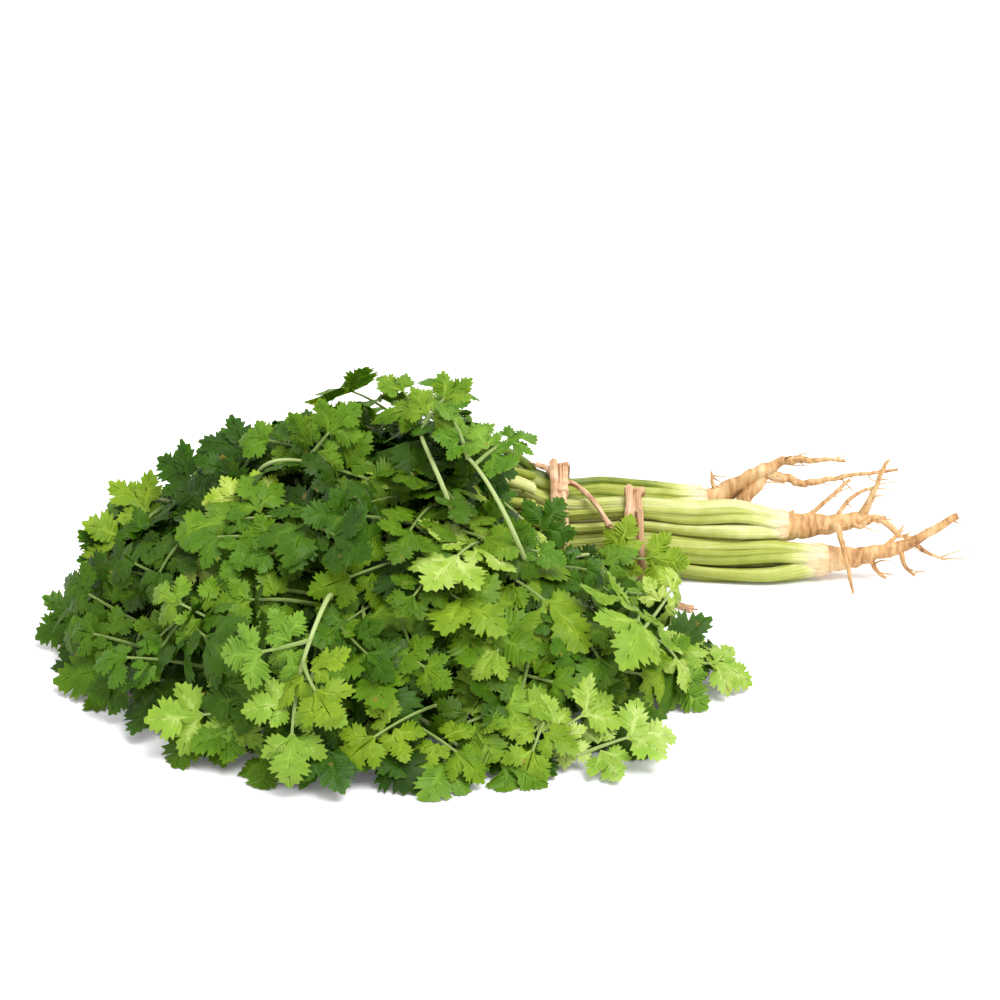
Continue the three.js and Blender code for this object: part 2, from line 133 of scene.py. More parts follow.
def smooth_path(points, steps):
    """Points at even steps of a smooth curve through a few places."""
    path = []
    for step in range(steps + 1):
        place = (len(points) - 1) * step / steps
        i = min(int(place), len(points) - 2)
        b, c = points[i], points[i + 1]
        a = points[i - 1] if i else 2 * b - c
        d = points[i + 2] if i + 2 < len(points) else 2 * c - b
        k1 = sqrt((b - a).length)
        k2 = k1 + sqrt((c - b).length)
        k3 = k2 + sqrt((d - c).length)
        at = k1 + (place - i) * (k2 - k1)
        ab = a.lerp(b, at / k1)
        bc = b.lerp(c, (at - k1) / (k2 - k1))
        cd = c.lerp(d, (at - k2) / (k3 - k2))
        path.append(ab.lerp(bc, at / k2).lerp(bc.lerp(cd, (at - k1) / (k3 - k1)), (at - k1) / (k2 - k1)))
    return path


def stalk_path(plant, index, steps, lean=0.0, spread=1.0):
    """A stalk's path along its bundle, leaning round it from one station to the next."""
    stations = range(len(plant["bundle"]))
    return smooth_path([place_in_bundle(plant, index + lean * k, k, spread) for k in stations], steps)


def new_mesh():
    """An empty mesh, whose points have a tone, a hue and how far they are off a vein, and faces a map."""
    bm = bmesh.new()
    for name in ("tone", "hue", "rib"):
        bm.verts.layers.float.new(name)
    bm.loops.layers.uv.new("UVMap")
    return bm


def no_tone(share, angle):
    return 0


def add_rod(bm, path, radius, sides, tone=no_tone, slot=0):
    """A closed rod along a path in millimetres: a sheet rolled round it, its two ends gathered in.

    radius and tone take a share of the way and an angle round, and slot is the rod's material."""
    steps = len(path) - 1
    ways = [(path[min(k + 1, steps)] - path[max(k - 1, 0)]).normalized() for k in range(steps + 1)]
    side = ways[0].orthogonal().normalized()
    sides_out = [side]
    for before, after in zip(ways, ways[1:]):
        side = before.rotation_difference(after) @ side
        sides_out.append((side - after * side.dot(after)).normalized())
    tones = bm.verts.layers.float["tone"]
    flat = bmesh.ops.create_grid(bm, x_segments=sides, y_segments=steps + 2, size=1, calc_uvs=True)
    sheet = flat["verts"]
    for face in {face for vert in sheet for face in vert.link_faces}:
        face.material_index = slot
    for vert in sheet:
        angle = pi * (vert.co.x + 1)
        row = round((vert.co.y + 1) * (steps + 2) / 2)
        k = int(clamp(row - 1, 0, steps))
        share = k / steps
        reach = radius(share, angle) if row == k + 1 else 0
        up = ways[k].cross(sides_out[k])
        vert[tones] = tone(share, angle)
        place = path[k] + (sides_out[k] * cos(angle) + up * sin(angle)) * reach
        place.z = max(place.z, TABLE_GAP)
        vert.co = place * MM
    bmesh.ops.remove_doubles(bm, verts=sheet, dist=1e-6)


SHARP_EDGE = radians(50)


def put(name, data):
    thing = bpy.data.objects.new(name, data)
    bpy.context.scene.collection.objects.link(thing)
    return thing


def finish_mesh(bm, name, materials):
    """The finished piece: smooth, apart from its sharp edges, with its materials."""
    for edge in bm.edges:
        edge.smooth = edge.calc_face_angle(0) < SHARP_EDGE
    for face in bm.faces:
        face.smooth = True
    mesh = bpy.data.meshes.new(name)
    bm.to_mesh(mesh)
    bm.free()
    for material in materials:
        mesh.materials.append(material)
    return put(name, mesh)


def feed(tree, node, values):
    """A node's sockets, each set to a plain value or linked to another socket."""
    for name, value in values.items():
        if isinstance(value, bpy.types.NodeSocket):
            tree.links.new(value, node.inputs[name])
        else:
            node.inputs[name].default_value = value


def add_node(tree, kind, values, **settings):
    """The outputs of a new node, with its settings and with its sockets fed."""
    node = tree.nodes.new(f"ShaderNode{kind}")
    for name, setting in settings.items():
        setattr(node, name, setting)
    feed(tree, node, values)
    return node.outputs


def add_math(tree, operation, *values):
    return add_node(tree, "Math", dict(enumerate(values)), operation=operation)["Value"]


def add_ramp(tree, factor, stops):
    """A colour ramp on a factor: (place, (red, green, blue)) for each stop."""
    ramp = tree.nodes.new("ShaderNodeValToRGB")
    elements = ramp.color_ramp.elements
    while len(elements) < len(stops):
        elements.new(0.5)
    for element, (place, colour) in zip(elements, stops):
        element.position = place
        element.color = (*colour, 1)
    feed(tree, ramp, {"Fac": factor})
    return ramp.outputs["Color"]


def add_bump(tree, height, distance, strength):
    return add_node(tree, "Bump", {"Height": height, "Distance": distance, "Strength": strength})["Normal"]


def add_noise(tree, vector, scale, detail):
    return add_node(tree, "TexNoise", {"Vector": vector, "Scale": scale, "Detail": detail})["Fac"]


def read_attribute(tree, name):
    """A value that the mesh's points have, such as their tone."""
    return add_node(tree, "Attribute", {}, attribute_name=name)["Fac"]


def read_map(tree):
    """The place on the sheet that a rod is rolled from."""
    return add_node(tree, "UVMap", {}, uv_map="UVMap")["UV"]


def read_place(tree):
    return add_node(tree, "TexCoord", {})["Object"]


def new_group(name, inputs, outputs):
    """A shader node group, with its named sockets: its tree, what comes in and what goes out."""
    tree = bpy.data.node_groups.new(name, "ShaderNodeTree")
    for socket, kind in inputs.items():
        tree.interface.new_socket(socket, in_out="INPUT", socket_type=f"NodeSocket{kind}")
    for socket in outputs:
        tree.interface.new_socket(socket, in_out="OUTPUT", socket_type="NodeSocketFloat")
    return tree, tree.nodes.new("NodeGroupInput").outputs, tree.nodes.new("NodeGroupOutput")


STREAK_SOCKETS = {
    "Map": "Vector",
    "Stretch": "Vector",
    "Streak Scale": "Float",
    "Streak Detail": "Float",
    "Blotch Scale": "Float",
    "Blotch Detail": "Float",
}


def streak_group():
    """Streaks, drawn out along a map or a piece, and blotches all over it, each from 0 to 1."""
    tree, enter, leave = new_group("streaks and blotches", STREAK_SOCKETS, ["Streak", "Blotch"])
    drawn = add_node(tree, "Mapping", {"Vector": enter["Map"], "Scale": enter["Stretch"]})["Vector"]
    for name, place in (("Streak", drawn), ("Blotch", read_place(tree))):
        mottle = add_noise(tree, place, enter[f"{name} Scale"], enter[f"{name} Detail"])
        feed(tree, leave, {name: mottle})
    return tree


streaks = streak_group()


def add_streaks(tree, place, stretch, streak, blotch):
    """The streaks and blotches of a material, each given as (scale, detail)."""
    values = dict(zip(STREAK_SOCKETS, (place, stretch, *streak, *blotch)))
    out = add_node(tree, "Group", values, node_tree=streaks)
    return out["Streak"], out["Blotch"]


def new_material(name):
    """A material with nodes of its own, and its tree."""
    material = bpy.data.materials.new(name)
    material.use_nodes = True
    return material, material.node_tree


def finish_material(material, finish):
    """The material, once its one shader has its finish."""
    feed(material.node_tree, material.node_tree.nodes["Principled BSDF"], finish)
    return material


def stalk_material(name, stops):
    """Ribbed skin over wet flesh, streaked along the stalk; stops are its colours by tone."""
    material, tree = new_material(name)
    fibre, blotch = add_streaks(tree, read_map(tree), (16, 0.7, 1), (3, 3), (180, 3))
    streak = add_math(tree, "MULTIPLY_ADD", fibre, 0.5, -0.40)
    shift = add_math(tree, "MULTIPLY_ADD", blotch, 0.3, streak)
    mixed = add_math(tree, "ADD", read_attribute(tree, "tone"), shift)
    return finish_material(material, {
        "Base Color": add_ramp(tree, mixed, stops),
        "Roughness": 0.36,
        "Subsurface Weight": 0.25,
        "Subsurface Radius": (0.6, 1.0, 0.25),
        "Subsurface Scale": 0.0015,
        "Normal": add_bump(tree, fibre, 0.0005, 0.7),
    })


# Tone 0 is the cream of the crown, and 1 the green of the stalks high up.
stalk_skin = stalk_material("stalk_skin", [
    (0.0, (0.58, 0.38, 0.20)),
    (0.08, (0.66, 0.54, 0.32)),
    (0.25, (0.63, 0.60, 0.31)),
    (0.5, (0.38, 0.41, 0.08)),
    (0.75, (0.24, 0.28, 0.015)),
    (1.0, (0.09, 0.14, 0.004)),
])

# The stalks and roots wander by Blender's noise, which starts from the clock unless it has a seed.
WANDER_SEED = 7
noise.seed_set(WANDER_SEED)


def wandering(path, seed, width):
    """A path that strays a little from side to side between its two ends."""
    last = len(path) - 1
    for k in range(1, last):
        place = Vector((path[k].x * 0.022, seed * 7.3, 0.5))
        path[k] = path[k] + noise.noise_vector(place) * width * min(1, 5 * k / last, 5 * (last - k) / last)
    return path


for plant in PLANTS:
    bm = new_mesh()
    plant["ends"] = []
    for index in range(plant["stalks"]):
        seed = index + 10 * plant["stalks"] + plant["first_angle"]
        stout = 0.86 + 0.26 * draw(index, 2, plant["stalks"])
        own = 0.34 * (draw(index, 3, plant["stalks"]) - 0.5)
        pale = 2.0 + 2.4 * draw(index, 4, plant["stalks"])

        def stalk_radius(share, angle):
            """Widened into its sheath at the crown, a little flat, with fine ribs and a deeper groove."""
            sheath = exp(-share * 7)
            rib = 1 + 0.03 * cos(9 * angle) + 0.02 * cos(13 * angle + 2)
            flat = 1 + 0.17 * cos(2 * angle + 5 * share + index)
            groove = 1 - 0.16 * max(0, cos(angle + 2.1 * index + 2 * share)) ** 8
            swell = 1 + 0.08 * sin(11 * share + 2 * index)
            return (STALK_RADIUS * stout * swell + 1.3 * sheath) * rib * flat * groove

        def stalk_tone(share, angle):
            """Cream at the crown, and greener along the stalk, which is paler on one side."""
            green = clamp(pale * share, 0, plant["stalk_tone"] + 0.16 * share)
            return 0.1 + green + (own + 0.08 * cos(angle + index)) * min(1, 4 * share)

        path = wandering(stalk_path(plant, index, STALK_STEPS), seed, 2.1)
        add_rod(bm, path, stalk_radius, STALK_SIDES, stalk_tone)
        plant["ends"].append((STALK_RADIUS * stout, stalk_tone(1, 0)))
    plant["mesh"] = bm

# Younger, thinner stalks that lie in some of the grooves between the outer ones.
THIN_RADIUS = 1.3
THIN_SIDES = 14
for plant in PLANTS:
    bm = plant["mesh"]
    for index in range(0, plant["stalks"] - 1, 2):
        drift = 0.3 + 0.5 * draw(index, 5, plant["stalks"])
        path = stalk_path(plant, index + drift, STALK_STEPS, 0.1, 1.04)
        own = 0.3 * (draw(index, 6, plant["stalks"]) - 0.5)
        thin = THIN_RADIUS * (0.7 + 0.5 * draw(index, 7, plant["stalks"]))
        add_rod(
            bm,
            wandering(path, index + 31, 1.2),
            lambda share, angle: thin * (1 + 0.06 * cos(5 * angle)) * (1 - 0.4 * exp(-share * 12)),
            THIN_SIDES,
            lambda share, _: 0.1 + clamp(4 * share, 0, plant["stalk_tone"] + 0.1) + own,
        )

# Two stalks of the middle plant that sank into the groove between it and the front plant: the X that each
# starts at, then its Y and its Z there and at each SUNK_X.
SUNK_RADIUS = 1.9
SUNK_SIDES = 18
SUNK_X = (8, -10, PAIR_TIE_X, WHOLE_TIE_X, BUNDLE_END_X)
SUNK_STALKS = [
    (22, [9, 3.4, 3.2, 2, -1, -3.4], [17, 14.8, 15, 18.4, 18.8, 21.8]),
    (20, [10, 7.4, 7, 5, 2, 0], [17, 14, 14.4, 17.8, 18, 21]),
]
for number, (start, across, up) in enumerate(SUNK_STALKS):
    path = smooth_path([Vector(point) for point in zip((start, *SUNK_X), across, up)], STALK_STEPS)
    add_rod(
        PLANTS[1]["mesh"],
        wandering(path, number + 57, 0.8),
        lambda share, angle: SUNK_RADIUS * (1 + 0.05 * cos(7 * angle)) * (1 - 0.4 * exp(-share * 12)),
        SUNK_SIDES,
        lambda share, _: 0.12 + clamp(5 * share, 0, 0.46 + 0.1 * number),
    )

# The crown: the short cream collar, round about X, that the sheaths wrap and the root begins under. Its
# profile is (along X, radius).
CROWN_PROFILE = [(-9, 0.2), (-8, 4.6), (-4, 6.3), (0, 6.8), (1.6, 6.3), (2.7, 5.7), (2.9, 0.2)]
CROWN_STEPS = len(CROWN_PROFILE) - 1
for plant in PLANTS:
    bm = plant["mesh"]
    (x, y, z), _ = plant["bundle"][0]
    path = [Vector((x + along, y, z)) for along, _ in CROWN_PROFILE]
    add_rod(
        bm,
        path,
        lambda share, angle: CROWN_PROFILE[round(share * CROWN_STEPS)][1] * (1 + 0.05 * cos(7 * angle)),
        STALK_SIDES,
        lambda share, _: 0.16 - 0.2 * share,
    )
    piece = finish_mesh(bm, f"{plant['name']}_stalks", [stalk_skin])
    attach(piece, "root")
    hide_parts(f"stalks_{plant['name']}")


# ---- Roots ----
# Each plant's tap root, forked and knobby, with fine side roots and hairs: tan bark, ringed with scars.
# It is one growth with the crown, and its tip stands clear of the table.
STOUT_BRANCH = 2
ROOT_STEP = 1.5
# Each branch is a route, and its radius at the start and at the tip. The tap root comes first.
ROOTS = {
    "front": [
        ([(42, 1, 8.4), (52, 0, 9.4), (62, -1, 12), (76, -1, 17), (93, -2, 28)], (5.4, 1.3)),
        ([(60, -1, 10.5), (62, -4, 6), (66, -6, 3.6)], (1.3, 0.5)),
        ([(71, -1, 14.5), (73, -5, 8.5), (77, -7, 5)], (1.4, 0.5)),
        ([(76, -1, 16.5), (82, -6, 13.5), (88, -8, 12)], (1.3, 0.4)),
        ([(66, 0, 14.5), (71, 2, 19), (73, 3, 22)], (1.1, 0.4)),
    ],
    "middle": [
        ([(27, 10.1, 18.2), (38, 11, 18.4), (50, 11, 19.8), (60, 11, 22)], (5.5, 2.6)),
        ([(57, 11, 21.5), (61, 11, 30), (63, 11, 37), (67, 11, 46)], (2, 0.7)),
        ([(58, 11, 21.5), (66, 10, 21), (73, 9, 15), (79, 8, 13.5)], (2.1, 0.6)),
        ([(47, 11, 20), (51, 12, 27), (56, 12, 32), (62, 12, 33.5)], (1.1, 0.6)),
        ([(45, 10, 18), (47, 2, 21), (49, -9.5, 16), (51, -13, 7), (52, -15, 1)], (1.8, 0.5)),
        ([(52, 11, 20), (56, 5, 20.5), (60, 4, 24), (66, 4, 25)], (1.4, 0.5)),
    ],
    "back": [
        ([(-3, 49.2, 11.4), (7, 49, 17), (18, 49, 24), (25, 49, 28)], (5.1, 2.8)),
        ([(23, 49, 27), (31, 49, 31), (42, 49, 31), (55, 49, 31)], (2.6, 0.6)),
        ([(21, 49, 26), (30, 48, 24), (38, 47, 22), (50, 47, 24), (76, 47, 28)], (2.6, 0.6)),
        ([(2, 47.5, 11.5), (9, 44, 11), (16, 45, 17.5), (22, 48, 24.5)], (4, 2.3)),
        ([(7, 45, 11), (14, 42, 9), (25, 41, 8), (38, 41, 10), (57, 46, 24)], (2.4, 0.7)),
        ([(4, 49, 15), (1.6, 49.5, 22), (1.3, 50, 26)], (1.1, 0.5)),
        ([(27, 41, 8), (31, 39, 11.5), (34, 38, 13.6)], (1.1, 0.5)),
    ],
}


def bark_material():
    """Tan bark: lighter ridges, darker rings across, a few brown scars."""
    material, tree = new_material("root_bark")
    ring, blotch = add_streaks(tree, read_place(tree), (3.4, 1, 1), (190, 4), (70, 2))
    both = add_math(tree, "MULTIPLY_ADD", blotch, 0.5, add_math(tree, "MULTIPLY", ring, 0.5))
    return finish_material(material, {
        "Base Color": add_ramp(tree, both, [
            (0.30, (0.14, 0.055, 0.018)),
            (0.41, (0.36, 0.18, 0.06)),
            (0.52, (0.54, 0.32, 0.13)),
            (0.68, (0.66, 0.48, 0.27)),
        ]),
        "Roughness": 0.62,
        "Subsurface Weight": 0.1,
        "Subsurface Scale": 0.001,
        "Normal": add_bump(tree, ring, 0.0009, 0.9),
    })


root_bark = bark_material()
ROOT_SIDES = 14
FINE_ROOT_SIDES = 8
ROOT_HAIRS = 9
HAIR_SIDES = 5
HAIR_CLEARANCE = 1
for plant in PLANTS:
    bm = new_mesh()
    for branch, (points, (thick, thin)) in enumerate(ROOTS[plant["name"]]):
        places = [Vector(point) for point in points]
        length = sum((b - a).length for a, b in zip(places, places[1:]))
        steps = max(10, int(length / ROOT_STEP))
        path = smooth_path(places, steps)
        seed = branch * 17.0

        def knobby(share, angle):
            """Tapering, swollen here and there, with rings where the root grew in fits."""
            plain = thick + (thin - thick) * share ** 0.8
            along = share * length
            spot = Vector((along * 0.16 + seed, 1.3 * cos(angle), 1.3 * sin(angle)))
            swell = 0.22 * noise.noise(spot)
            ring = 0.10 * noise.noise(Vector((along * 0.75 + seed, 0.4 * cos(angle), 3)))
            return plain * (1 + swell + ring)

        wobble = min(0.9, 0.5 * thick)
        for k in range(1, steps):
            sway = noise.noise_vector(Vector((k * 0.35, seed, 1)))
            path[k] += sway * wobble * min(1, 4 * k / steps)
        stout = thick > STOUT_BRANCH
        add_rod(bm, path, knobby, ROOT_SIDES if stout else FINE_ROOT_SIDES)
        for hair in range(ROOT_HAIRS if stout else 3):
            k = int((0.12 + 0.85 * draw(branch, hair, 1)) * steps)
            sideways, upward = draw(branch, hair, 3) - 0.5, draw(branch, hair, 4) - 0.5
            out = Vector((0.8 * draw(branch, hair, 2) + 0.1, sideways, upward)).normalized()
            reach = 3 + 8 * draw(branch, hair, 5) ** 2
            bend = Vector((1, 0, draw(branch, hair, 6) - 0.5))
            start = path[k]
            tip = start + out * reach + bend * reach * 0.4
            hair_path = smooth_path([start, start + out * reach * 0.6, tip], 6)
            if hair_path[-1].z > HAIR_CLEARANCE:
                fine = 0.32 + 0.25 * draw(branch, hair, 7)
                add_rod(bm, hair_path, lambda share, _: fine * (1 - 0.8 * share), HAIR_SIDES)
    piece = finish_mesh(bm, f"{plant['name']}_root", [root_bark])
    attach(piece, "root")
    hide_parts(f"root_{plant['name']}")


# ---- Strings ----
# Two ties of dried plant fibre, each a flattened strand wound round the stalks and knotted, with its ends
# left long. The rear tie holds all three plants, and the front one the front and middle plants.
SHEATH_RADIUS = 2.6
# Where each turn of a strand lies along X, from the middle of its tie.
STRAND_OFFSETS = (-3.6, -0.1, 3.3)
# A tie is pulled tight round each stalk, where its path, in TIED_STEPS, is within TIED_REACH of the tie.
TIED_STEPS = 60
TIED_REACH = 6
STRAND_WIDTH = 1.6
STRAND_THICKNESS = 1.3
STRAND_SIDES = 14
TURN_STEPS = 72
KNOT_LOOPS = 3
KNOT_LOOP_STEPS = 18
TAIL_STEPS = 30
WISPS = 6
WISP_RADIUS = 0.22
WISP_SIDES = 4
TIES = {
    "whole": {
        "plants": ["front", "middle", "back"],
        "x": WHOLE_TIE_X,
        "knot_angle": 100,
        "tails": [
            [(-57, 16, 34.5), (-52, 4, 36.2), (-47, -4, 33.5), (-42, -9.5, 27)],
            [(-66, 22, 38.5), (-70, 23, 39.5)],
        ],
    },
    "pair": {
        "plants": ["front", "middle"],
        "x": PAIR_TIE_X,
        "knot_angle": 205,
        "tails": [
            [(-29, -12, 5.5), (-24, -18, 2.2), (-18, -25, 1.5), (-11, -31, 1.6)],
            [(-37, -12.5, 4.5), (-42, -16.5, 1.9)],
        ],
    },
}


def fibre_material():
    """Dried fibre: peach brown, streaked along the strand."""
    material, tree = new_material("dried_fibre")
    fibre, blotch = add_streaks(tree, read_map(tree), (9, 1.5, 1), (3, 5), (120, 2))
    both = add_math(tree, "MULTIPLY_ADD", blotch, 0.5, add_math(tree, "MULTIPLY", fibre, 0.5))
    return finish_material(material, {
        "Base Color": add_ramp(tree, both, [
            (0.34, (0.22, 0.105, 0.045)),
            (0.46, (0.52, 0.29, 0.15)),
            (0.60, (0.76, 0.50, 0.31)),
        ]),
        "Roughness": 0.75,
        "Normal": add_bump(tree, fibre, 0.0006, 0.9),
    })


def tie_sections(tie):
    """Circles round the stalks that a tie holds, in the plane of the tie."""
    circles = []
    for plant in PLANTS:
        if plant["name"] not in tie["plants"]:
            continue
        for index in range(plant["stalks"]):
            path = stalk_path(plant, index, TIED_STEPS)
            circles += [(place.y, place.z) for place in path if abs(place.x - tie["x"]) < TIED_REACH]
    return circles


def loop_point(circles, angle, slack):
    """The place at an angle of a loop pulled tight round circles."""
    out = (cos(angle), sin(angle))
    y, z = max(circles, key=lambda circle: circle[0] * out[0] + circle[1] * out[1])
    return Vector((0, y + out[0] * (SHEATH_RADIUS + slack), z + out[1] * (SHEATH_RADIUS + slack)))


dried_fibre = fibre_material()

for name, tie in TIES.items():
    bm = new_mesh()
    circles = tie_sections(tie)
    knot = loop_point(circles, radians(tie["knot_angle"]), 1.4) + Vector((tie["x"], 0, 0))

    def strand(share, angle):
        """A flat strand with folds that run along it and slowly round it."""
        twist = 30 * share
        flat = hypot(STRAND_WIDTH * cos(angle), STRAND_THICKNESS * sin(angle))
        return flat * (1 + 0.10 * cos(5 * angle + twist) + 0.05 * cos(9 * angle - 2 * twist))

    for turn, offset in enumerate(STRAND_OFFSETS):
        path = []
        for step in range(TURN_STEPS):
            angle = 2 * pi * step / TURN_STEPS
            lift = 0.45 + 0.5 * draw(turn, 1, len(circles)) * (1 + sin(angle * 2 + turn))
            lift += (2.2 if turn == 0 else 0.6 * turn) * max(0, sin(angle)) ** 6
            point = loop_point(circles, angle, 1.0 + lift)
            lean = 1.2 * sin(angle + turn * 1.1) + 0.6 * sin(3 * angle + 2 * turn)
            gather = 1 - 0.25 * max(0, sin(angle)) ** 3
            path.append(Vector((tie["x"] + offset * gather + lean, point.y, point.z)))
        after = path[1:] + path[:1]
        smoothed = [(path[k - 1] + path[k] * 2 + after[k]) / 4 for k in range(TURN_STEPS)]
        smoothed += [smoothed[0] + (smoothed[1] - smoothed[0]) * 0.3]
        add_rod(bm, smoothed, strand, STRAND_SIDES)
    for loop in range(KNOT_LOOPS):
        tilt = radians(35 + 50 * loop)
        ring = []
        for step in range(KNOT_LOOP_STEPS):
            angle = 2 * pi * step / (0.9 * KNOT_LOOP_STEPS)
            flat = Vector((2.7 * cos(angle), 2.1 * sin(angle), 0))
            turned = Matrix.Rotation(tilt * 1.7, 3, "Z") @ flat
            ring.append(knot + Matrix.Rotation(tilt, 3, "X") @ turned)
        add_rod(bm, ring, lambda share, angle: 1.25 + 0.12 * cos(4 * angle), 10)

    def tail_radius(share, angle):
        """The strand, thinner towards its end, where it frays wider."""
        frayed = max(0, share - 0.93) / 0.07
        return strand(share * 0.5, angle) * (0.82 - 0.12 * share + 0.3 * frayed)

    for points in tie["tails"]:
        path = smooth_path([knot] + [Vector(point) for point in points], TAIL_STEPS)
        add_rod(bm, path, tail_radius, 12)
        end = path[-1]
        out = (end - path[-3]).normalized()
        for wisp in range(WISPS):
            spread = Vector((draw(wisp, 1, 2) - 0.5, draw(wisp, 2, 2) - 0.5, abs(draw(wisp, 3, 2) - 0.3)))
            tip = end + out * 1.6 + spread * 2.2
            wisp_path = [end - out, end + out * 0.6 + spread * 0.5, tip]
            add_rod(bm, wisp_path, lambda share, _: WISP_RADIUS, WISP_SIDES)
    piece = finish_mesh(bm, f"string_{name}", [dried_fibre])
    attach(piece, "root")
    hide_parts(f"tie_{name}")


# ---- Leafy stems ----
# Each stalk goes on into the heap as a thinner stem, which bears leaves on long thin leaf stalks: three
# leaflets to a leaf, each fan shaped, lobed, toothed, veined and a little ruffled. A stem's curve and its
# first leaves are those of the frame's node, and its other leaves take the room that is left.
STEM_GAP = 2.2
STEM_TIP_RADIUS = 1.0
STEM_SIDES = 18
STEM_STEPS = 24
RACHIS = 13
END_LEAFLET = 27
SIDE_LEAFLET = 22
SIDE_HEADING = 80
PETIOLE_SHORTEST = 7
PETIOLE_LONGEST = 48
HEAP_CENTRE = Vector((-121, -56, 0))
HEAP_REACH = {"left": 135, "right": 134, "front": 129, "back": 98, "up": 98}
STEM_DEPTH = 46
FRONT = Vector((0, -0.9, 0.44))
# The heap's outline as seen from the front and a little above: (x, z + SIGHT_SLOPE * y).
SIGHT_SLOPE = 0.42
OUTLINE = [
    (-256, -12), (-235, 33), (-217, 53), (-176, 67), (-160, 72), (-136, 75),
    (-118, 73), (-107, 78), (-93, 70), (-83, 57), (-75, 24), (60, -44),
]
TABLE_MARGIN = 0.25
FIRST_DRAW = 36
STEM_TRIES = 60
LEAF_TRIES = 220
LEAF_STATIONS = [1, 0.87, 0.74, 0.61]
# Half a blade's thickness at each row of its sheet, from its base to its edge, and the rows that a leaflet
# over a length has.
BLADE_HALVES = (0, 0.16, 0.18, 0.12, 0)
SHEET_ROWS = [(22, (0, 1, 2, 3, 4)), (16, (0, 1, 2, 4)), (0, (0, 2, 4))]
# A leaflet's three lobes: where each leaves the midrib, its heading in degrees, its length, and the widths
# of its right and left halves, all for a leaflet of length 1. SIDE_LOBES is the left leaflet of a pair.
END_LOBES = [(0.14, -58, 0.68, 1.08, 0.76), (0.30, 0, 0.70, 1.1, 1.1), (0.14, 58, 0.68, 0.76, 1.08)]
SIDE_LOBES = [(0.11, -62, 0.58, 1.0, 0.72), (0.28, -3, 0.72, 1.05, 1.1), (0.14, 54, 0.70, 0.76, 1.08)]
# Half of a lobe's edge, for a lobe of length 1: places along and across it at each tooth, notch and cut,
# how far along the lobe their own side vein starts, and how far off a vein they are, from 0 to 1.
LOBE_EDGE = [
    (0.16 + 0.17j, 0.22, 1.0), (0.25 + 0.35j, 0.22, 0.35),
    (0.33 + 0.32j, 0.22, 0.9), (0.40 + 0.45j, 0.26, 0.3),
    (0.47 + 0.36j, 0.30, 0.9), (0.57 + 0.48j, 0.34, 0.25),
    (0.60 + 0.37j, 0.36, 0.9), (0.70 + 0.41j, 0.38, 0.35),
    (0.62 + 0.20j, 0.50, 1.0), (0.79 + 0.31j, 0.58, 0.35),
    (0.81 + 0.21j, 0.60, 0.9), (0.93 + 0.22j, 0.64, 0.3),
    (0.92 + 0.10j, 0.68, 0.8), (1.03 + 0.05j, 0.70, 0.15),
]


def heap_reach(direction):
    """How far the heap's surface is from its centre."""
    across = direction.x / (HEAP_REACH["left"] if direction.x < 0 else HEAP_REACH["right"])
    deep = direction.y / (HEAP_REACH["front"] if direction.y < 0 else HEAP_REACH["back"])
    return 1 / sqrt(across ** 2 + deep ** 2 + (direction.z / HEAP_REACH["up"]) ** 2)


def fan_out(plant):
    """Each stalk's direction in the heap: low stalks take the low fans, and near stalks the near side."""
    last = len(plant["bundle"]) - 1
    stalks = [(index, place_in_bundle(plant, index, last)) for index in range(plant["stalks"])]
    stalks.sort(key=lambda stalk: stalk[1].z)
    for stems, rise, first, final in plant["fans"]:
        fan = sorted(stalks[:stems], key=lambda stalk: -stalk[1].y)
        stalks = stalks[stems:]
        for place, (index, at) in enumerate(fan):
            compass = radians(first + (final - first) * place / (stems - 1))
            level = Vector((cos(compass), sin(compass), 0))
            direction = level * cos(radians(rise))
            direction.z = sin(radians(rise))
            yield index, at, level, direction


def stem_curve(plant, at, level, direction, seed, attempt):
    """The four points of a stem's curve: out of the bundle, up over the heap and down to its place."""
    centre = Vector(plant["bundle"][-1][0])
    start = at - Vector((STEM_GAP, 0, 0))
    away = start - centre

    def wander(n):
        return (draw(seed, n, attempt) - 0.5) * (4 + attempt)

    tip = HEAP_CENTRE + direction * (heap_reach(direction) - STEM_DEPTH)
    tip += Vector((wander(1), wander(2), abs(wander(3)) + 6))
    first = start + Vector((-24, 1.6 * away.y + wander(4), 1.6 * away.z + 4 + wander(5)))
    second = tip - level * 26 - direction * 6 + Vector((wander(6), wander(7), 12 + abs(wander(8))))
    return start, first, second, tip


def curve_point(curve, t):
    a, b, c, d = curve
    s = 1 - t
    return a * s ** 3 + b * 3 * s * s * t + c * 3 * s * t * t + d * t ** 3


def curve_way(curve, t):
    return (curve_point(curve, min(t + 1e-4, 1)) - curve_point(curve, max(t - 1e-4, 0))).normalized()


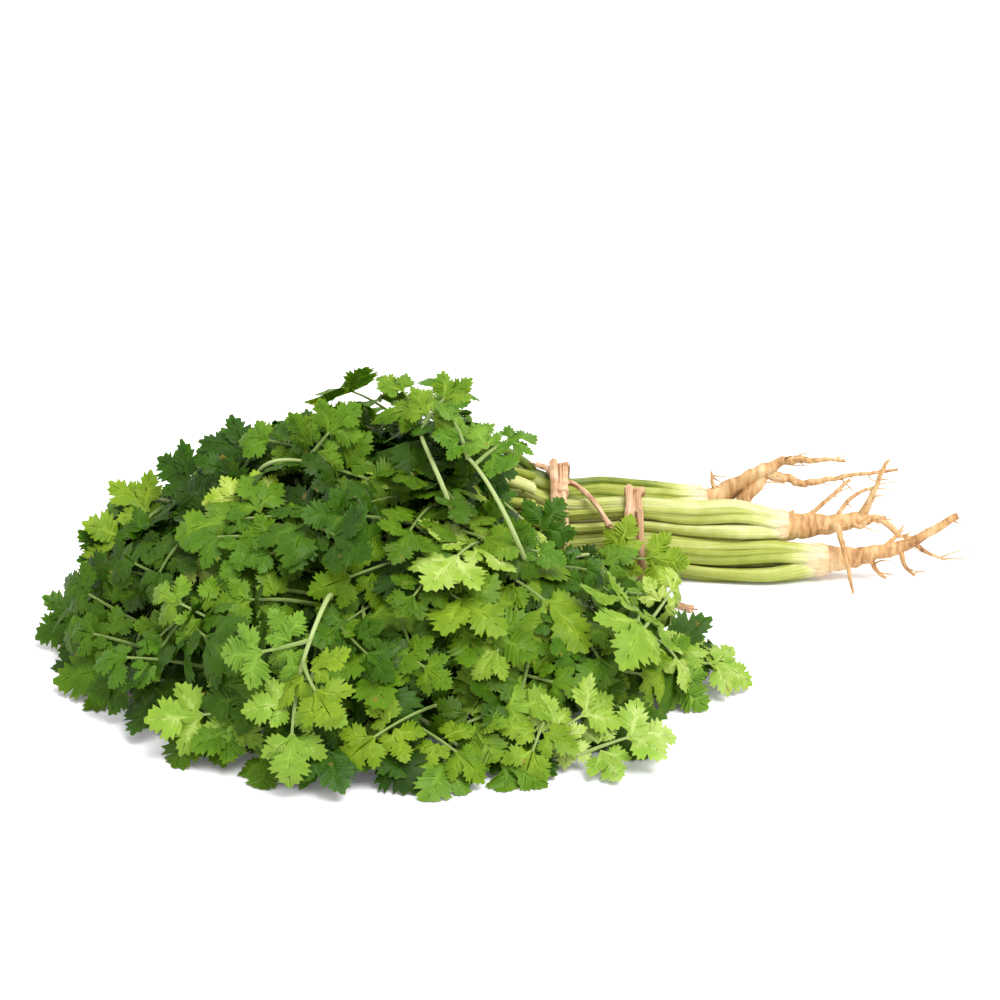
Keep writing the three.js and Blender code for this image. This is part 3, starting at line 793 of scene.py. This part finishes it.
def leaf_on(stem, station, attempt, scale=1.0):
    """A leaf's pose, size and bend: it rises from its stem to the heap's surface and bends along it.

    Past the first few, leaves on the heap's front side turn towards the front."""

    def pick(n):
        return draw(stem["seed"], station + 1, n + 11 * attempt)

    def swing(n):
        return 2 * pick(n) - 1

    reach = min(1, attempt / 80)
    later = station > 0
    share = stem["stations"][station] - (0.14 * reach * pick(8) if later else 0)
    root = curve_point(stem["curve"], share)
    along = curve_way(stem["curve"], share)
    out = root - HEAP_CENTRE
    outward = out.normalized()
    depth = heap_reach(outward) - out.length
    flatness = clamp(2.3 - root.z / 15, 0.3, 2.2)
    out.z = max(out.z + 8, flatness * hypot(out.x, out.y))
    out = stem["face"] or out.normalized()
    if station >= len(LEAF_STATIONS):
        out = (out + FRONT * clamp((20 - root.y) / 40, 0, 0.9)).normalized()
    side = out.cross(along).normalized()
    hand = 1 if (station + stem["index"]) % 2 else -1
    surface = along * (0.5 if later else 1)
    surface += side * ((hand * 0.9 if later else 0) + (0.35 + 0.9 * reach) * swing(1))
    surface = (surface - out * surface.dot(out)).normalized()
    lift = radians(40 + (16 + 14 * reach) * swing(2) if later else 26 + 14 * swing(2)) + stem["stand"]
    heading = surface * cos(lift) + out * sin(lift)
    normal = out * cos(lift) - surface * sin(lift)
    across = normal.cross(heading)
    roll = radians((20 + 30 * reach) * swing(3))
    normal = normal * cos(roll) + across * sin(roll)
    across = normal.cross(heading)
    size = (0.88 if later else 1) * (0.88 + 0.26 * pick(5)) * (1 - 0.2 * reach) * scale
    rise = (depth - 3 - 30 * reach * pick(4)) / max(0.4, heading.dot(outward))
    pose = Matrix((heading, across, normal)).transposed()
    return {
        "pose": pose,
        "root": root,
        "size": size,
        "petiole": clamp(rise - 0.85 * (RACHIS + END_LEAFLET) * size, PETIOLE_SHORTEST, stem["longest"]),
        "bend": lift * (0.6 + 0.9 * pick(6)) + 0.12,
        "cup": 0.6 * swing(7),
        "seed": stem["seed"] * 31 + station,
    }


def on_leaf(leaf, x, y, z):
    """A place on a leaf, x out along its stalk, y across and z off the blade, once the leaf is bent."""
    start = 0.5 * leaf["petiole"]
    length = start + (RACHIS + END_LEAFLET) * leaf["size"]
    height = z + leaf["cup"] * y * y / length
    turn = leaf["bend"] * max(0, x - start) / length
    radius = length / leaf["bend"]
    out = min(x, start) + (radius + height) * sin(turn)
    return leaf["root"] + leaf["pose"] @ Vector((out, y, (radius + height) * cos(turn) - radius))


def leaf_tip(leaf, z):
    return on_leaf(leaf, leaf["petiole"] + (RACHIS + END_LEAFLET) * leaf["size"], 0, z)


def leaf_spots(leaf):
    """A few places over a leaf, to test its room."""
    size = leaf["size"]
    end = leaf["petiole"] + RACHIS * size
    spots = [(end + END_LEAFLET * size * k, 0) for k in (0.35, 0.7, 1)]
    spots += [(end + END_LEAFLET * size * 0.5, END_LEAFLET * size * k) for k in (-0.6, 0.6)]
    spots += [(leaf["petiole"], SIDE_LEAFLET * size * k) for k in (-1, -0.6, -0.3, 0.3, 0.6, 1)]
    spots += [(leaf["petiole"] - 8 * size, SIDE_LEAFLET * size * k) for k in (-0.7, 0.7)]
    return [on_leaf(leaf, x, y, 0) for x, y in spots]


def in_bounds(spots, lowest=TABLE_MARGIN):
    """True where a leaf stays above the table, and within the heap's outline as seen from the front."""
    for spot in spots:
        places = zip(OUTLINE, OUTLINE[1:])
        (x, low), (after, high) = next((pair for pair in places if spot.x < pair[1][0]), OUTLINE[-2:])
        top = low + (high - low) * (spot.x - x) / (after - x)
        if spot.z < lowest or spot.z + SIGHT_SLOPE * spot.y > top:
            return False
    return True


def tree_of(places):
    tree = kdtree.KDTree(len(places))
    for k, place in enumerate(places):
        tree.insert(place, k)
    tree.balance()
    return tree


# Which of the possible curves and leaves each stem of the frame has, found by its tip and its leaves'
# tips. Further leaves are tried at EXTRA_STATIONS along it, each with EXTRA_GAP of room round it.
EXTRA_STATIONS = [1 - 0.02 * k for k in range(1, 36)]
EXTRA_TRIES = 50
EXTRA_GAP = 3.2
stems = []
for number, plant in enumerate(PLANTS):
    for index, at, level, direction in fan_out(plant):
        node = f"spray_{plant['name']}_{index + 1}"
        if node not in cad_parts:
            continue
        corners = tree_of([vert.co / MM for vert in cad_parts[node].data.vertices])
        seed = FIRST_DRAW + 10 * number + index
        stem = {
            "node": node,
            "seed": seed,
            "index": index,
            "plant": plant,
            "stations": LEAF_STATIONS + EXTRA_STATIONS,
            "stand": 0,
            "longest": PETIOLE_LONGEST,
            "face": None,
            "leaves": [],
            "forks": [],
        }
        for attempt in range(STEM_TRIES):
            curve = stem_curve(plant, at, level, direction, seed, attempt)
            ring = [far for _, _, far in corners.find_range(curve[3], STEM_TIP_RADIUS + 0.01)]
            if sum(far > STEM_TIP_RADIUS - 0.01 for far in ring) >= 3:
                stem["curve"] = curve
                break
        if "curve" not in stem:
            continue
        for station in range(len(LEAF_STATIONS)):
            for attempt in range(LEAF_TRIES):
                leaf = leaf_on(stem, station, attempt)
                if max(corners.find(leaf_tip(leaf, z))[2] for z in (0.35, -0.35)) < 0.1:
                    stem["leaves"].append(leaf)
                    break
        stems.append(stem)

taken = [spot for stem in stems for leaf in stem["leaves"] for spot in leaf_spots(leaf)]


def add_leaf(stem, station, attempts, scale, gap, in_room=in_bounds):
    """One more leaf at a station of a stem, if it has room."""
    room = tree_of(taken)
    for attempt in attempts:
        leaf = leaf_on(stem, station, attempt, scale)
        spots = leaf_spots(leaf)
        if in_room(spots) and all(room.find(spot)[2] > gap for spot in spots):
            stem["leaves"].append(leaf)
            taken.extend(spots)
            return


# Forks that reach out of the heap: where each starts, its curve's two handles and its tip; then where its
# leaves are, their size, how far they stand up in degrees, their longest stalk, their tone, and the side
# that they face where it isn't out of the heap. Each starts at the nearest leafy stem.
FORKS = [
    ([(-93, -138, 70), (-102, -116, 91), (-117, -86, 96), (-111, -58, 87.5)],
     [1, 0.87, 0.76], 0.64, 16, 48, 0.6, None),
    ([(-74, -142, 60), (-79, -134, 78), (-88, -114, 88), (-95, -98, 89)],
     [1, 0.9], 0.55, 0, 48, 0.55, None),
    ([(-178, -62, 70), (-174, -78, 82), (-162, -82, 84), (-148, -76, 78)],
     [1, 0.88], 0.6, 0, 20, 0.5, FRONT),
    ([(-150, -70, 60), (-158, -60, 76), (-168, -48, 79), (-176, -42, 72)],
     [1, 0.9, 0.8], 0.9, -20, 9, 0.38, FRONT),
    ([(-132, -134, 68), (-138, -150, 69), (-147, -167, 54), (-151, -170, 37)],
     [1, 0.86, 0.72], 0.7, 0, 48, 0.6, None),
    ([(-178, -46, 34), (-192, -44, 44), (-204, -42, 52), (-214, -40, 50)],
     [1, 0.9, 0.75], 0.95, -10, 9, 0.8, FRONT),
    ([(-170, -46, 56), (-184, -44, 60), (-194, -42, 54), (-201, -40, 46)],
     [1, 0.85], 0.8, -20, 9, 0.48, FRONT),
    ([(-200, -60, 15), (-206, -58, 24), (-213, -56, 23), (-219, -55, 18)],
     [1, 0.88, 0.76], 0.9, -20, 8, 0.42, FRONT),
    ([(-190, -75, 12), (-198, -78, 18), (-206, -80, 16), (-212, -80, 9)],
     [1, 0.85], 0.9, -20, 8, 0.40, FRONT),
    ([(-58, -100, 14), (-47, -101, 20), (-37, -100, 18), (-26, -99, 13)],
     [1, 0.8], 0.8, -15, 7, 0.86, FRONT),
    ([(-88, -148, 16), (-78, -158, 12), (-68, -162, 8), (-57, -161, 6)],
     [1, 0.6], 0.72, 0, 12, 0.86, None),
    ([(-112, -136, 18), (-107, -145, 12), (-103, -152, 9), (-98, -157, 7)],
     [1, 0.84, 0.7], 0.82, 0, 12, 0.72, None),
    ([(-158, -134, 16), (-154, -140, 12), (-150, -143, 9), (-144, -144, 7)],
     [1, 0.84], 0.9, 0, 14, 0.62, None),
    ([(-157, -130, 14), (-157, -139, 12), (-156, -145, 9), (-156, -149, 6)],
     [1, 0.85], 0.7, 0, 10, 0.62, None),
    ([(-58, -102, 22), (-48, -100, 26), (-40, -97, 23), (-33, -95, 18)],
     [1, 0.9, 0.8], 0.5, 0, 16, 0.76, None),
    ([(-76, -50, 18), (-64, -36, 23), (-54, -22, 22), (-45, -16, 17)],
     [1, 0.85], 0.68, -15, 7, 0.74, FRONT),
    ([(-94, -40, 18), (-88, -36, 24), (-81, -31, 22), (-74, -27, 17)],
     [1, 0.8], 0.78, -15, 8, 0.42, FRONT),
]


def above_table(spots):
    return min(spot.z for spot in spots) > -2


def fork_room(spots):
    return in_bounds(spots, -2)


for number, (points, stations, scale, stand, longest, tone, face) in enumerate(FORKS):
    start, first, second, tip = (Vector(point) for point in points)
    places = [(stem, k / 20) for stem in stems for k in range(4, 20)]
    parent, share = min(places, key=lambda at: (curve_point(at[0]["curve"], at[1]) - start).length)
    fork = {
        "curve": (curve_point(parent["curve"], share), first, second, tip),
        "seed": 400 + number,
        "index": number,
        "stations": stations,
        "stand": radians(stand),
        "longest": longest,
        "face": face,
        "tone": tone,
        "leaves": [],
    }
    parent["forks"].append(fork)
    for station in range(len(stations)):
        add_leaf(fork, station, range(120), scale, 1.0, fork_room if face and tip.x < -90 else above_table)

for station in range(len(LEAF_STATIONS), len(LEAF_STATIONS) + len(EXTRA_STATIONS)):
    for stem in stems:
        scale = 0.5 + 0.38 * draw(stem["seed"], station, 3)
        add_leaf(stem, station, range(0, 2 * EXTRA_TRIES, 2), scale, EXTRA_GAP)


def way_to_cut(cut):
    return [(cut * share, off) for share, off in ((0, 0), (0.4, 0.5), (0.7, 0.8), (0.85, 0.9), (1, 1))]


def leaflet_columns(lobes, seed):
    """A leaflet's flat sheet: for each place on its edge, the way to it from the base along the veins.

    Each column holds its lobe's number and its (place, off vein) pairs. Places are complex numbers."""
    columns = []
    for number, (leave, heading, length, right, left) in enumerate(lobes):

        def vary(n, amount):
            return amount * (2 * draw(seed, number, n) - 1)

        root = leave + vary(1, 0.03)
        way = rect(length * (1 + vary(2, 0.13)), radians(heading + vary(3, 8)))
        cut = root + way * (0.10 - 0.10j)
        if number:
            cut = complex(0.42 + vary(4, 0.11), copysign(0.14 + vary(5, 0.03), heading - 20))
        columns.append((number, way_to_cut(cut)))
        for side, width, half in ((-1, right, LOBE_EDGE), (1, left, LOBE_EDGE[::-1])):
            across = side * width * (1 + vary(7 + side, 0.08))
            for n, (spot, vein, off) in enumerate(half):
                along = spot.real * (1 + 0.05 * (draw(seed, number * 31 + n, 40 + side) - 0.5))
                place = root + way * complex(along, spot.imag * across)
                start = root + way * complex(vein, side * 0.1 * (0.62 - vein))
                ways = [(0, 0), (root, 0), (start, 0), ((start + place) / 2, off / 2), (place, off)]
                columns.append((number, ways))
    columns.append((number, way_to_cut(root + way * (0.10 + 0.10j))))
    return columns


def add_leaflet(bm, leaf, base, hand, heading, length, lobes, seed, tone, hue):
    """A leaflet: a sheet folded over at its teeth, thickest along its veins, gathered at its base.

    hand is -1 for a leaflet seen in a mirror."""
    columns = leaflet_columns(lobes, seed)[::-hand]
    across = len(columns) - 1
    rows = next(rows for longest, rows in SHEET_ROWS if length > longest)
    last = len(rows) - 1
    curl = -0.05 + 0.40 * draw(seed, 2, 31)
    tilts = [0.9 * (draw(seed, number, 33) - 0.5) for number in range(len(lobes))]
    tilts[1] *= 0.4
    droop = -0.2 + 0.7 * draw(seed, 1, 31)
    ruffle = 0.02 + 0.03 * draw(seed, 3, 31)
    phase = 2 * pi * draw(seed, 4, 31)
    tones, hues, ribs = (bm.verts.layers.float[name] for name in ("tone", "hue", "rib"))
    flat = bmesh.ops.create_grid(bm, x_segments=across, y_segments=2 * last, size=1, calc_uvs=True)
    sheet = flat["verts"]
    for vert in sheet:
        column = round((vert.co.x + 1) / 2 * across)
        number, ways = columns[column]
        step = round(last * (vert.co.y + 1))
        row = rows[min(step, 2 * last - step)]
        place, off = ways[row]
        out = abs(place - lobes[number][0]) if row > 1 else 0
        z = tilts[number] * out - droop * out * out - curl * abs(place) ** 2
        z += ruffle * row / 4 * (sin(phase + 9 * abs(place) + 2 * number) - off)
        turned = length * (place if hand > 0 else complex(place).conjugate()) * rect(1, radians(heading))
        x, y = base[0] + turned.real, base[1] + turned.imag
        middle = on_leaf(leaf, x, y, z * length)
        half = BLADE_HALVES[row] if 0 < column < across else 0
        skin = on_leaf(leaf, x, y, z * length + (half if step < last else -half)) - middle
        middle.z = max(middle.z, 0.3 + 0.05 * row)
        vert[tones] = tone
        vert[hues] = hue
        vert[ribs] = off
        vert.co = (middle + skin) * MM
    bmesh.ops.remove_doubles(bm, verts=sheet, dist=1e-6)


def add_mix(tree, share, first, second):
    """A Mix node on two colours: of its sockets, 6 and 7 and the output 2 are the ones for colours."""
    return add_node(tree, "Mix", {"Factor": share, 6: first, 7: second}, data_type="RGBA")[2]


def vein_group():
    """The veins of a leaflet: 1 along them, and 0 a little way off."""
    tree, enter, leave = new_group("leaflet veins", {"Off Vein": "Float"}, ["Vein"])
    values = {"Value": enter["Off Vein"], "From Max": 0.16, "To Min": 1.0, "To Max": 0.0}
    near = add_node(tree, "MapRange", values, interpolation_type="SMOOTHSTEP")["Result"]
    feed(tree, leave, {"Vein": near})
    return tree


def leaf_material():
    """Satin leaf skin that lets some light through, with pale veins and a few brown specks.

    Tone goes from dark through bright to pale, and hue from a blue green to a yellow one."""
    material, tree = new_material("leaf_skin")
    off_vein = {"Off Vein": read_attribute(tree, "rib")}
    vein = add_node(tree, "Group", off_vein, node_tree=vein_group())["Vein"]
    blotch = add_noise(tree, read_place(tree), 130, 5)
    shift = add_math(tree, "MULTIPLY_ADD", blotch, 0.36, -0.18)
    mixed = add_math(tree, "ADD", read_attribute(tree, "tone"), shift)
    mixed = add_math(tree, "MULTIPLY_ADD", vein, 0.08, mixed)
    cool = add_ramp(tree, mixed, [
        (0.0, (0.008, 0.028, 0.001)),
        (0.3, (0.024, 0.072, 0.002)),
        (0.55, (0.055, 0.145, 0.008)),
        (0.8, (0.165, 0.300, 0.038)),
        (1.0, (0.420, 0.530, 0.200)),
    ])
    warm = add_ramp(tree, mixed, [
        (0.0, (0.013, 0.034, 0.000)),
        (0.3, (0.042, 0.090, 0.000)),
        (0.55, (0.092, 0.165, 0.001)),
        (0.8, (0.225, 0.310, 0.012)),
        (1.0, (0.500, 0.540, 0.120)),
    ])
    specks = add_ramp(tree, add_noise(tree, read_place(tree), 260, 1), [
        (0.75, (0.0, 0.0, 0.0)),
        (0.79, (0.5, 0.5, 0.5)),
    ])
    green = add_mix(tree, read_attribute(tree, "hue"), cool, warm)
    height = add_math(tree, "MULTIPLY_ADD", vein, -0.6, blotch)
    return finish_material(material, {
        "Base Color": add_mix(tree, specks, green, (0.20, 0.11, 0.02, 1)),
        "Roughness": 0.48,
        "Specular IOR Level": 0.13,
        "Subsurface Weight": 0.15,
        "Subsurface Radius": (0.5, 1.0, 0.1),
        "Subsurface Scale": 0.001,
        "Normal": add_bump(tree, height, 0.0008, 0.6),
    })


leaf_skin = leaf_material()
# Tone 0 is the pale green of a young leaf stalk, and 1 a deep green; a leaf stalk is as dark as its leaf,
# so it carries the leaf's painted light and painted shade.
leaf_stalk_skin = stalk_material("leaf_stalk_skin", [
    (0.0, (0.46, 0.52, 0.22)),
    (0.45, (0.26, 0.36, 0.09)),
    (1.0, (0.08, 0.14, 0.01)),
])


# Painted shade: the places of other leaves within COVER_REACH of a spot COVER_AHEAD out from a leaf
# shade it, and COVER_FULL of them do so in full, painting its tone darker by the whole painted shade.
room = tree_of(taken)
COVER_AHEAD = 17
COVER_REACH = 13
COVER_FULL = 16
PAINTED_SHADE = 0.42
PALE_TONE = 0.82
LEAF_STALK_SIDES = 5
LEAF_STALK_LOWEST = 0.7
FORK_RADII = (1.0, 0.65)


def painted_shade_cover(leaf):
    """How deep under other leaves a leaf lies, 0 on the heap's surface to 1: the mask of the painted shade
    on leaves.
    """
    blade = on_leaf(leaf, leaf["petiole"] + RACHIS * leaf["size"], 0, 0)
    out = (blade - HEAP_CENTRE).normalized()
    return min(1, len(room.find_range(blade + out * COVER_AHEAD, COVER_REACH)) / COVER_FULL)


def add_leaves(bm, stem, middle_tone, spread):
    """The leaves of a stem or fork, with their stalks: painted light makes them paler towards the front
    right, and painted shade darker deep under other leaves.
    """
    for leaf in stem["leaves"]:
        seed = leaf["seed"]
        size = leaf["size"]
        end = leaf["petiole"] + RACHIS * size
        root = leaf["root"]
        # Painted light: leaves are painted paler towards the right and the front, the side the sun comes
        # from.
        light = 0.10 * (root.x - HEAP_CENTRE.x) / 120 - 0.08 * (root.y - HEAP_CENTRE.y) / 100
        # Painted shade: a leaf's tone is painted darker the deeper it lies under other leaves.
        tone = middle_tone + light + spread * (draw(seed, 5, 31) - 0.5) - PAINTED_SHADE * painted_shade_cover(leaf)
        # Pale leaves are a colour of their own, but the painted light makes them more common towards the
        # front right.
        pale = draw(seed, 6, 31) + 0.3 * light > 0.965
        tone = PALE_TONE if pale else clamp(tone, 0.04, 0.80)
        hue = 0.1 + 0.7 * draw(seed, 9, 31)
        add_leaflet(bm, leaf, (end, 0), 1, 0, END_LEAFLET * size, END_LOBES, seed * 3, tone, hue)
        for hand in (-1, 1):
            base = (leaf["petiole"], hand * 1.2)
            length = SIDE_LEAFLET * size * (0.88 + 0.24 * draw(seed, 7, 30 + hand))
            own = clamp(tone + 0.12 * (draw(seed, 8, 30 + hand) - 0.5), 0.03, 0.98)
            number = seed * 3 + hand
            add_leaflet(bm, leaf, base, hand, hand * SIDE_HEADING, length, SIDE_LOBES, number, own, hue)
        path = [on_leaf(leaf, -0.5 + (end + 2 * size + 0.5) * k / 9, 0, -0.15) for k in range(10)]
        for place in path:
            place.z = max(place.z, LEAF_STALK_LOWEST)
        # The leaf stalk is painted darker where its leaf is darker, so it carries the leaf's painted shade
        # and painted light.
        green = 1.05 - 0.8 * tone
        add_rod(bm, path, lambda share, _: 0.85 - 0.4 * share, LEAF_STALK_SIDES, lambda share, _: green, 1)


def add_stem(bm, curve, thick, thin, tone, slot):
    """A stem along its curve, finely ribbed and tapering."""

    def ribbed(share, angle):
        return (thin + (thick - thin) * (1 - share) ** 1.5) * (1 + 0.04 * cos(7 * angle))

    path = [curve_point(curve, k / STEM_STEPS) for k in range(STEM_STEPS + 1)]
    add_rod(bm, path, ribbed, STEM_SIDES, tone, slot)


for stem in stems:
    bm = new_mesh()
    add_leaves(bm, stem, stem["plant"]["tone"], 0.44)
    start, first, second, tip = stem["curve"]
    radius, green = stem["plant"]["ends"][stem["index"]]
    curve = (start + Vector((STEM_GAP + 4, 0, 0)), first, second, tip)
    # The stem is painted darker towards its tip deep in the heap: partly its own deeper green higher up,
    # partly painted shade.
    add_stem(bm, curve, radius * 0.9, STEM_TIP_RADIUS, lambda share, _: green + (0.9 - green) * share, 2)
    for fork in stem["forks"]:
        add_leaves(bm, fork, fork["tone"], 0.14)
        add_stem(bm, fork["curve"], *FORK_RADII, lambda share, _: 0.25, 1)
    name = stem["node"].replace("spray", "leafy_stem")
    piece = finish_mesh(bm, name, [leaf_skin, leaf_stalk_skin, stalk_skin])
    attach(piece, "root")
    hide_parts(stem["node"])


# ---- Floor, light and camera ----
# A plain white table top, a wide soft light from the front right and above, and a white surround.
white_top, _ = new_material("white_top")
finish_material(white_top, {
    "Base Color": (0.86, 0.86, 0.86, 1),
    "Roughness": 0.9,
    "Specular IOR Level": 0.1,
    "Emission Color": (1, 1, 1, 1),
    "Emission Strength": 0.06,
})
bm = bmesh.new()
bmesh.ops.create_grid(bm, x_segments=1, y_segments=1, size=6)
finish_mesh(bm, "table_top", [white_top])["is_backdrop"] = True

sun_data = bpy.data.lights.new("soft_sun", "SUN")
sun_data.energy = 3.5
sun_data.angle = radians(34)
sun_way = Vector((-0.45, 0.65, -1.3))
put("soft_sun", sun_data).rotation_euler = sun_way.to_track_quat("-Z", "Y").to_euler()

world = bpy.data.worlds.new("white_room")
world.use_nodes = True
sky = world.node_tree
feed(sky, sky.nodes["Background"], {"Color": (1, 1, 1, 1), "Strength": 1.15})
bpy.context.scene.world = world

CAMERA_DIP = 22
camera_data = bpy.data.cameras.new("camera")
camera_data.lens = 102.96
camera_data.sensor_width = 36
camera = put("camera", camera_data)
camera.location = (-0.084, -1.0239, 0.4474)
camera.rotation_euler = (radians(90 - CAMERA_DIP), 0, 0)
bpy.context.scene.camera = camera
bpy.context.scene.view_settings.view_transform = "Standard"

plain = [[[float(v) for v in corner] for corner in box] for box in (cad_bounds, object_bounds())]
